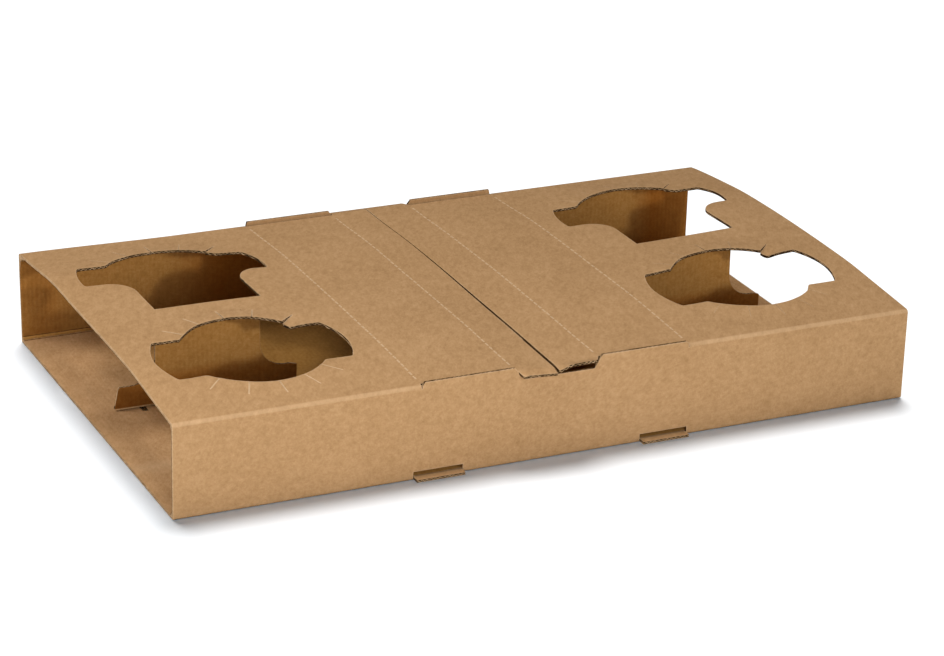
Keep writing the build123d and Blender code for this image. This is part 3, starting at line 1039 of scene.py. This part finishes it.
arc_rows = [s * r for s in (-1, 1) for r in ROWS_A + ROWS_B + [A1 + 8, A1 + 20, A1 + 32, 115.0]]
flat_rows = list(np.linspace(-105, 105, 15)) + [-(A3 + 15), -(A3 + 35)] + [A3 + k for k in np.linspace(12, 160, 12)]
grid_v = sorted(arc_rows + flat_rows)
ends = [dense([(s * HALF_L, V_LO), (s * HALF_L, V_HI)], 1.0) for s in (-1, 1)]
sides = ends + [poly(l, 1.0) if False else l for l in flute_cuts]
main_cells = flute_cells(-HALF_L + 0.5, HALF_L - 0.5, flute_cuts, grid_v, (V_LO, V_HI), sides)
flap_rows = [ARC * k / 6 for k in range(1, 7)] + [12.0, 24.0, 36.0]
flap_loops = {k: [(x - math.copysign(0.55, x) if abs(x) > 40 and y > 20 else x, y) for x, y in FLAPS[k][3]]
              for k in (-1, 1)}
flap_cells = {k: flute_cells(-49.8, 49.8, [flap_loops[k]], sorted(flap_rows), None, [FLAPS[k][3]]) for k in (-1, 1)}


def medium(cells, kind, du):
    """Wave-shaped thin sheet over the cells."""
    index, pts, quads = {}, [], []

    def vid(u, v):
        k = (round(u, 4), round(v, 3))
        if k not in index:
            index[k] = len(pts)
            pts.append((u, v))
        return index[k]

    for u0, u1, a0, b0, a1, b1 in cells:
        q = (vid(u0, a0), vid(u1, b0), vid(u1, b1), vid(u0, a1))
        if len(set(q)) == 4:
            quads.append(q)
    pts, quads = np.array(pts), np.array(quads)
    if kind == 0:
        lift = rim_lift(pts[:, 0], pts[:, 1])[quads]
        long_v = np.ptp(pts[:, 1][quads], axis=1)
        quads = quads[np.ptp(lift, axis=1) < 0.22 + 0.09 * long_v]
    u = pts[:, 0] + du
    k = 2 * math.pi / FLUTE_PITCH
    mid = BOARD / 2
    wave = AMP * np.cos(k * u)
    slope = -AMP * k * np.sin(k * u)
    n = np.sqrt(1 + slope ** 2)
    off = FLUTE_PAPER / 2
    lim = kind * CUP_X
    kinds = np.full(len(u), kind)
    Pa = place(u + off * slope / n, pts[:, 1], kinds, mid + wave - off / n)
    Pb = place(u - off * slope / n, pts[:, 1], kinds, mid + wave + off / n)
    e = np.concatenate([quads[:, [0, 1]], quads[:, [1, 2]], quads[:, [2, 3]], quads[:, [3, 0]]])
    key = np.sort(e, 1)
    _, inv, cnt = np.unique(key, axis=0, return_inverse=True, return_counts=True)
    border = e[cnt[inv.ravel()] == 1]
    base = sum(len(x) for x in verts)
    n = len(Pa)
    verts.append(Pa)
    verts.append(Pb)
    wears_and_sheen.extend([np.zeros(n), np.zeros(n)])
    painted_shades.extend([np.zeros(n), np.zeros(n)])
    # the medium's faces are painted near black, the painted shade of the flute hollows; its cut faces keep a paper tone
    faces.append(quads + base)
    mats.append(np.full(len(quads), M_FLUTE_SHADE))
    faces.append(quads[:, ::-1] + n + base)
    mats.append(np.full(len(quads), M_FLUTE_SHADE))
    q = np.column_stack([border[:, 1], border[:, 0], border[:, 0] + n, border[:, 1] + n])
    faces.append(q + base)
    mats.append(np.full(len(q), M_TOOTH))
    return len(quads)


board_lists = (verts, faces, mats, wears_and_sheen, painted_shades)
verts, faces, mats, wears_and_sheen, painted_shades = [], [], [], [], []
n_med = medium(main_cells, 0, 0.0)
n_med += medium(flap_cells[-1], -1, -CUP_X)
n_med += medium(flap_cells[1], 1, CUP_X)


def cap(path, kinds, inward, wrap=False):
    """The flute's side wall that closes a cut running along the flutes."""
    u, v = np.array(path, float).T
    d = np.array(inward, float)
    k = np.full(len(u), kinds)
    ring = []
    for depth, w in ((0.03, 0.12), (0.03, BOARD - 0.06), (0.40, BOARD - 0.06), (0.40, 0.12)):
        q = place(u + d[:, 0] * depth, v + d[:, 1] * depth, k, w)
        if kinds == 0 and w > BOARD / 2:
            a_ = np.abs(v)
            turn = ((np.abs(a_ - (T0 + A1) / 2) < 4.0) | (np.abs(a_ - (A2 + A3) / 2) < 4.0))
            q = bead(u, v, q)
            up = np.where(a_ < (A1 + A2) / 2, 1.0, -1.0)
            out = np.stack([np.zeros_like(v), np.sign(v), up], 1) / math.sqrt(2)
            q = q + np.where(turn, 0.1, 0.0)[:, None] * out
        ring.append(q)
    base = sum(len(x) for x in verts)
    n = len(u)
    for q in ring:
        verts.append(q)
        wears_and_sheen.append(np.zeros(n))
        painted_shades.append(np.zeros(n))
    out = []
    for i in range(n - 1):
        for j in range(4):
            m = (j + 1) % 4
            out.append((base + j * n + i, base + m * n + i, base + m * n + i + 1, base + j * n + i + 1))
    out.append((base, base + 3 * n, base + 2 * n, base + n))
    out.append((base + n - 1, base + 2 * n - 1, base + 3 * n - 1, base + 4 * n - 1))
    faces.append(np.array(out))
    mats.append(np.full(len(out), M_CUT))


END_ROWS = sorted(set([V_LO, V_HI] + ROWS + arc_rows))
for s_end in (-1, 1):
    cap([(s_end * HALF_L, v) for v in END_ROWS], 0, [(-s_end, 0.0)] * len(END_ROWS))
for side in (-1, 1):
    line = [p for p in FLAPS[side][3] if abs(p[0]) > 44.8 and p[1] > 20]
    for s_end in (-1, 1):
        one = sorted((p for p in line if p[0] * s_end > 0), key=lambda p: p[1])
        cap([(x + side * CUP_X, v) for x, v in one], side, [(-s_end, 0.0)] * len(one))
        neck = sorted((p for p in FLAPS[side][3] if 24 < p[0] * s_end < 38 and 2.2 < p[1] < 38.5), key=lambda p: p[1])
        straight = min(abs(x) for x, _ in neck) + 1.0
        c_s = max(v for x, v in neck if abs(x) < straight)
        c_x = s_end * (min(abs(x) for x, _ in neck) + NECK_ROUND)
        inward = [(-s_end, 0.0) if v <= c_s else ((x - c_x) / NECK_ROUND, (v - c_s) / NECK_ROUND) for x, v in neck]
        cap([(x + side * CUP_X, v) for x, v in neck], side, inward)
for s_end in (-1, 1):
    strip = [(s_end * x, 115.46) for x in np.linspace(24.2, 70.8, 24)]
    cap(strip, 0, [(0.0, 1.0)] * len(strip))


def make_mesh(name, lists):
    verts, faces, mats, wears_and_sheen, painted_shades = lists
    allv = np.concatenate(verts) * 0.001
    me = bpy.data.meshes.new(name)
    poly_verts, starts, totals = [], [], []
    count = 0
    for f in faces:
        three = (f[:, 3] == -1) if f.shape[1] == 4 else np.ones(len(f), bool)
        size = np.where(three, 3, 4)
        flat = f[~(np.column_stack([np.zeros((len(f), 3), bool), three]))]
        poly_verts.append(flat)
        starts.append(count + np.concatenate([[0], np.cumsum(size)[:-1]]))
        totals.append(size)
        count += size.sum()
    poly_verts = np.concatenate(poly_verts)
    starts, totals = np.concatenate(starts), np.concatenate(totals)
    me.vertices.add(len(allv))
    me.vertices.foreach_set("co", allv.ravel())
    me.loops.add(len(poly_verts))
    me.loops.foreach_set("vertex_index", poly_verts)
    me.polygons.add(len(starts))
    me.polygons.foreach_set("loop_start", starts)
    me.polygons.foreach_set("material_index", np.concatenate(mats))
    me.update(calc_edges=True)
    # per-point rubbed wear, which also carries a painted highlight along the top folds
    wear_and_sheen_attr = me.attributes.new("wear_and_sheen", "FLOAT", "POINT")
    wear_and_sheen_attr.data.foreach_set("value", np.concatenate(wears_and_sheen).astype(np.float32))
    # per-point amount of painted shade, read by the materials
    painted_shade_attr = me.attributes.new("painted_shade", "FLOAT", "POINT")
    painted_shade_attr.data.foreach_set("value", np.concatenate(painted_shades).astype(np.float32))
    me.validate()
    me.polygons.foreach_set("use_smooth", np.ones(len(me.polygons), bool))
    me.set_sharp_from_angle(angle=math.radians(38))
    ob = bpy.data.objects.new(name, me)
    bpy.context.scene.collection.objects.link(ob)
    print(name, "triangles", int((totals - 2).sum()))
    return ob


board = make_mesh("cup_carrier_board", board_lists)
flutes = make_mesh("cup_carrier_flutes", (verts, faces, mats, wears_and_sheen, painted_shades))


# ---- materials ------------------------------------------------------------------------------
def node(nt, kind, **values):
    n = nt.nodes.new(kind)
    for k, v in values.items():
        if k in n.inputs:
            n.inputs[k].default_value = v
        else:
            setattr(n, k, v)
    return n


def kraft(name, dark, mid, light, rough, rib, fibre=1.0, mottle=1.0, wear_and_sheen=None, stripe=0.0, spec=0.22, painted_shade=(1, 1, 1, 1)):
    """Uncoated kraft paper: fine fibres across the flutes' run, soft mottling, faint ribs."""
    mat = bpy.data.materials.new(name)
    mat.use_nodes = True
    nt = mat.node_tree
    nt.nodes.clear()
    L = nt.links.new
    out = nt.nodes.new("ShaderNodeOutputMaterial")
    bsdf = nt.nodes.new("ShaderNodeBsdfPrincipled")
    bsdf.inputs["Roughness"].default_value = rough
    bsdf.inputs["Specular IOR Level"].default_value = spec
    L(bsdf.outputs[0], out.inputs[0])
    co = nt.nodes.new("ShaderNodeTexCoord")
    # grain: fine noise, a little longer one way
    mp = nt.nodes.new("ShaderNodeMapping")
    mp.vector_type = "TEXTURE"
    mp.inputs["Rotation"].default_value = (0, 0, math.radians(-25.4))
    mp.inputs["Scale"].default_value = (1 / 1250, 1 / 560, 1 / 1250)
    L(co.outputs["Object"], mp.inputs["Vector"])
    mq = nt.nodes.new("ShaderNodeMapping")
    mq.vector_type = "TEXTURE"
    mq.inputs["Rotation"].default_value = (0, 0, math.radians(-25.4))
    mq.inputs["Scale"].default_value = (1, 2.2, 1)
    L(co.outputs["Object"], mq.inputs["Vector"])
    fib = node(nt, "ShaderNodeTexNoise", Scale=1.0, Detail=3.0, Roughness=0.62)
    L(mp.outputs[0], fib.inputs["Vector"])
    # specks
    sp = node(nt, "ShaderNodeTexNoise", Scale=620.0, Detail=2.0, Roughness=0.5)
    L(mq.outputs[0], sp.inputs["Vector"])
    # mottling
    mo = node(nt, "ShaderNodeTexNoise", Scale=300.0, Detail=2.0, Roughness=0.55)
    L(mq.outputs[0], mo.inputs["Vector"])
    cl = node(nt, "ShaderNodeTexNoise", Scale=22.0, Detail=4.0, Roughness=0.55)
    L(co.outputs["Object"], cl.inputs["Vector"])
    # weighted sum
    def mul(a, f):
        m = nt.nodes.new("ShaderNodeMath")
        m.operation = "MULTIPLY_ADD"
        L(a, m.inputs[0])
        m.inputs[1].default_value = f
        m.inputs[2].default_value = -0.5 * f
        return m.outputs[0]

    def add(a, b):
        m = nt.nodes.new("ShaderNodeMath")
        m.operation = "ADD"
        L(a, m.inputs[0])
        L(b, m.inputs[1])
        return m.outputs[0]

    # ribs of the flutes under the liner
    sep = nt.nodes.new("ShaderNodeSeparateXYZ")
    L(co.outputs["Object"], sep.inputs[0])
    ph = nt.nodes.new("ShaderNodeMath")
    ph.operation = "MULTIPLY"
    ph.inputs[1].default_value = 2 * math.pi / (FLUTE_PITCH * 0.001)
    L(sep.outputs["X"], ph.inputs[0])
    co_ = nt.nodes.new("ShaderNodeMath")
    co_.operation = "COSINE"
    L(ph.outputs[0], co_.inputs[0])
    uneven = node(nt, "ShaderNodeTexNoise", Scale=28.0, Detail=2.0, Roughness=0.5)
    L(co.outputs["Object"], uneven.inputs["Vector"])
    rm = nt.nodes.new("ShaderNodeMath")
    rm.operation = "MULTIPLY"
    L(co_.outputs[0], rm.inputs[0])
    L(uneven.outputs["Fac"], rm.inputs[1])
    total = add(add(mul(fib.outputs["Fac"], 1.1 * fibre), mul(sp.outputs["Fac"], 1.0 * fibre)),
                add(mul(mo.outputs["Fac"], 0.75 * mottle), mul(cl.outputs["Fac"], 0.45 * mottle)))
    if stripe:
        st = nt.nodes.new("ShaderNodeMath")
        st.operation = "MULTIPLY"
        L(rm.outputs[0], st.inputs[0])
        st.inputs[1].default_value = stripe
        total = add(total, st.outputs[0])
    shift = nt.nodes.new("ShaderNodeMath")
    shift.operation = "ADD"
    shift.inputs[1].default_value = 0.5
    L(total, shift.inputs[0])
    ramp = nt.nodes.new("ShaderNodeValToRGB")
    el = ramp.color_ramp.elements
    el[0].position, el[0].color = 0.12, (*dark, 1)
    el[1].position, el[1].color = 0.88, (*light, 1)
    m_ = el.new(0.5)
    m_.color = (*mid, 1)
    L(shift.outputs[0], ramp.inputs[0])
    # rubbed lighter where the wear attribute says, which also carries a painted highlight along the top folds
    if wear_and_sheen:
        at = nt.nodes.new("ShaderNodeAttribute")
        at.attribute_name = "wear_and_sheen"
        soft = nt.nodes.new("ShaderNodeMath")
        soft.operation = "MULTIPLY"
        L(at.outputs["Fac"], soft.inputs[0])
        soft.inputs[1].default_value = wear_and_sheen[3]
        mix = nt.nodes.new("ShaderNodeMix")
        mix.data_type = "RGBA"
        L(soft.outputs[0], mix.inputs[0])
        L(ramp.outputs[0], mix.inputs[6])
        mix.inputs[7].default_value = (*wear_and_sheen[:3], 1)
        # painted shade: the colour is multiplied by a darker, browner colour, as far as the point's painted shade
        # attribute asks
        sh = nt.nodes.new("ShaderNodeAttribute")
        sh.attribute_name = "painted_shade"
        painted_shade_mix = nt.nodes.new("ShaderNodeMix")
        painted_shade_mix.data_type = "RGBA"
        painted_shade_mix.blend_type = "MULTIPLY"
        L(sh.outputs["Fac"], painted_shade_mix.inputs[0])
        L(mix.outputs[2], painted_shade_mix.inputs[6])
        painted_shade_mix.inputs[7].default_value = painted_shade
        L(painted_shade_mix.outputs[2], bsdf.inputs["Base Color"])
    else:
        L(ramp.outputs[0], bsdf.inputs["Base Color"])
    # bump: the ribs and the paper grain
    b1 = nt.nodes.new("ShaderNodeBump")
    b1.inputs["Strength"].default_value = 1.0
    b1.inputs["Distance"].default_value = rib
    L(rm.outputs[0], b1.inputs["Height"])
    b2 = nt.nodes.new("ShaderNodeBump")
    b2.inputs["Strength"].default_value = 0.35
    b2.inputs["Distance"].default_value = 0.00012
    L(add(fib.outputs["Fac"], sp.outputs["Fac"]), b2.inputs["Height"])
    L(b1.outputs[0], b2.inputs["Normal"])
    L(b2.outputs[0], bsdf.inputs["Normal"])
    return mat


# linear colours
m_out = kraft("kraft_liner_outside", (.300, .166, .068), (.385, .221, .098), (.465, .280, .136), 0.86, 0.000018,
              0.55, 0.85, wear_and_sheen=(.66, .47, .29, 0.9))
# m_in's last colour is its painted shade: the darker, browner tone given to the shaded flaps and back wall
m_in = kraft("kraft_liner_inside", (.295, .140, .034), (.378, .188, .050), (.452, .240, .074), 0.9, 0.00004,
             0.6, 0.9, wear_and_sheen=(.60, .42, .25, 0.5), stripe=0.07, spec=0.03, painted_shade=(.72, .52, .30, 1))
# paler, lit copy of the inside liner for the floor panel; its last colour is the painted shade that browns the floor's
# middle
m_floor_lit = kraft("kraft_liner_inside_floor_lit", (.300, .164, .070), (.382, .220, .102), (.460, .276, .138), 0.9, 0.00004,
                0.6, 0.9, wear_and_sheen=(.60, .42, .25, 0.5), stripe=0.07, spec=0.05, painted_shade=(.985, .85, .46, 1))
m_cut = kraft("kraft_cut_edge", (.280, .165, .078), (.400, .245, .122), (.520, .340, .185), 0.92, 0.0)
# painted shade of the flute hollows, not the fluting paper's own colour
m_flute_shade = kraft("kraft_fluting", (.028, .013, .004), (.050, .025, .008), (.085, .045, .017), 0.92, 0.0, spec=0.04)
m_tooth = kraft("kraft_fluting_cut", (.110, .058, .022), (.390, .240, .118), (.600, .400, .220), 0.92, 0.0, mottle=2.0)
# painted shade for the liners' cut edges at the openings and on the inner liner
m_cut_shade = kraft("kraft_cut_edge_painted_shade", (.040, .020, .007), (.095, .050, .020), (.180, .105, .048), 0.92, 0.0, mottle=1.8, spec=0.04)
# painted shade for the concave corners along the folds
m_crease_shade = kraft("kraft_crease_painted_shade", (.080, .036, .009), (.125, .058, .015), (.190, .096, .030), 0.9, 0.0, spec=0.04)
for piece in (board, flutes):
    for m in (m_out, m_in, m_cut, m_flute_shade, m_tooth, m_cut_shade, m_crease_shade, m_floor_lit):
        piece.data.materials.append(m)
    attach(piece, "root")
    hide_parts("cup_carrier")

# ---- floor, lights, camera ----------------------------------------------------------------------
fm = bpy.data.meshes.new("floor")
fm.from_pydata([(-8, -8, 0), (8, -8, 0), (8, 8, 0), (-8, 8, 0)], [], [(0, 1, 2, 3)])
floor = bpy.data.objects.new("floor", fm)
floor.location.z = -0.0002
bpy.context.scene.collection.objects.link(floor)
fmat = bpy.data.materials.new("floor_paper")
fmat.use_nodes = True
fb = fmat.node_tree.nodes["Principled BSDF"]
fb.inputs["Base Color"].default_value = (0.93, 0.93, 0.93, 1)
fb.inputs["Roughness"].default_value = 1.0
fb.inputs["Specular IOR Level"].default_value = 0.0
fm.materials.append(fmat)
um = bpy.data.meshes.new("floor_under")
um.from_pydata([(-.1993, -.1171, 0), (.1993, -.1171, 0), (.1993, .1171, 0), (-.1993, .1171, 0)], [], [(0, 1, 2, 3)])
um.materials.append(fmat)
under = bpy.data.objects.new("floor_under", um)      # the shaded floor beneath the board
under.location.z = -0.0001
bpy.context.scene.collection.objects.link(under)


# The soft lamps light the board, and the two broad suns light the floor, so that
# the floor stays white and takes a soft shadow at its near edges.
board_only = bpy.data.collections.new("lit_board")
for piece in (board, flutes):
    board_only.objects.link(piece)
floor_only = bpy.data.collections.new("lit_floor")
floor_only.objects.link(floor)


def area(name, loc, target, size, power, color=(1, 1, 1), size_y=None):
    d = bpy.data.lights.new(name, "AREA")
    d.shape = "RECTANGLE"
    d.size = size
    d.size_y = size_y or size
    d.energy = power
    d.color = color
    o = bpy.data.objects.new(name, d)
    o.location = loc
    o.rotation_euler = (Vector(target) - Vector(loc)).to_track_quat("-Z", "Y").to_euler()
    o.visible_camera = False
    o.light_linking.receiver_collection = board_only
    bpy.context.scene.collection.objects.link(o)
    return o


def floor_sun(name, loc, strength, angle):
    d = bpy.data.lights.new(name, "SUN")
    d.energy = strength
    d.angle = math.radians(angle)
    o = bpy.data.objects.new(name, d)
    o.location = loc
    o.rotation_euler = (-Vector(loc)).to_track_quat("-Z", "Y").to_euler()
    o.light_linking.receiver_collection = floor_only
    bpy.context.scene.collection.objects.link(o)
    return o


def around(az, el, dist=1.9):
    a, e = math.radians(az), math.radians(el)
    return (dist * math.cos(a) * math.cos(e), dist * math.sin(a) * math.cos(e), dist * math.sin(e))


area("key", (0.276, -1.777, 0.708), (0, 0, 0.02), 0.11, 10.6)
area("soft_a", around(0, 52), (0, 0, 0.02), 0.5, 10.2)
area("soft_b", around(150, 52), (0, 0, 0.02), 0.5, 8.9)
area("soft_c", around(240, 72), (0, 0, 0.02), 0.5, 8.8)
area("left", (-0.7, 0.0, 0.6), (0, 0, 0.02), 0.4, 3.2)
area("low_a", (-0.15, -0.7, 0.25), (0, 0, 0.02), 0.3, 1.35)
area("low_b", (-0.4, -0.55, 0.25), (0, 0, 0.02), 0.3, 0.75)
floor_sun("floor_back", around(75, 72), 3.65, 27)
fill = floor_sun("floor_fill", around(240, 80), 0.64, 5)
fill.data.color = (0.65, 0.84, 1.0)
fill.data.use_shadow = False

world = bpy.data.worlds.new("studio")
bpy.context.scene.world = world
world.use_nodes = True
back = world.node_tree.nodes["Background"]
back.inputs["Color"].default_value = (1.0, 1.0, 1.0, 1)
back.inputs["Strength"].default_value = 1.05
# a white room that is seen and adds no light of its own
world.cycles_visibility.diffuse = False
world.cycles_visibility.glossy = False
world.cycles_visibility.transmission = False
world.cycles_visibility.scatter = False

cam_data = bpy.data.cameras.new("camera")
cam_data.sensor_fit = "HORIZONTAL"
cam_data.sensor_width = 36.0
cam_data.lens = 3259.2958 * 36.0 / 944.0
cam_data.clip_start = 0.05
cam_data.clip_end = 60
cam = bpy.data.objects.new("camera", cam_data)
X = Vector((0.9079722412735609, -0.4181538262192411, 0.02708849746433313))
Y = Vector((0.13596273376452578, 0.3551415238209337, 0.9248722252751577))
Z = Vector((-0.3963591100302138, -0.8360752811059264, 0.3793119826998654))
C = Vector((-0.6675613780975507, -1.4257096520413155, 0.6690064068142028))
cam.matrix_world = Matrix(((X.x, Y.x, Z.x, C.x), (X.y, Y.y, Z.y, C.y), (X.z, Y.z, Z.z, C.z), (0, 0, 0, 1)))
bpy.context.scene.collection.objects.link(cam)
bpy.context.scene.camera = cam

sc = bpy.context.scene
sc.view_settings.view_transform = "Standard"
sc.view_settings.look = "None"
sc.view_settings.exposure = 0.0
sc.view_settings.gamma = 1.0

bpy.context.view_layer.update()
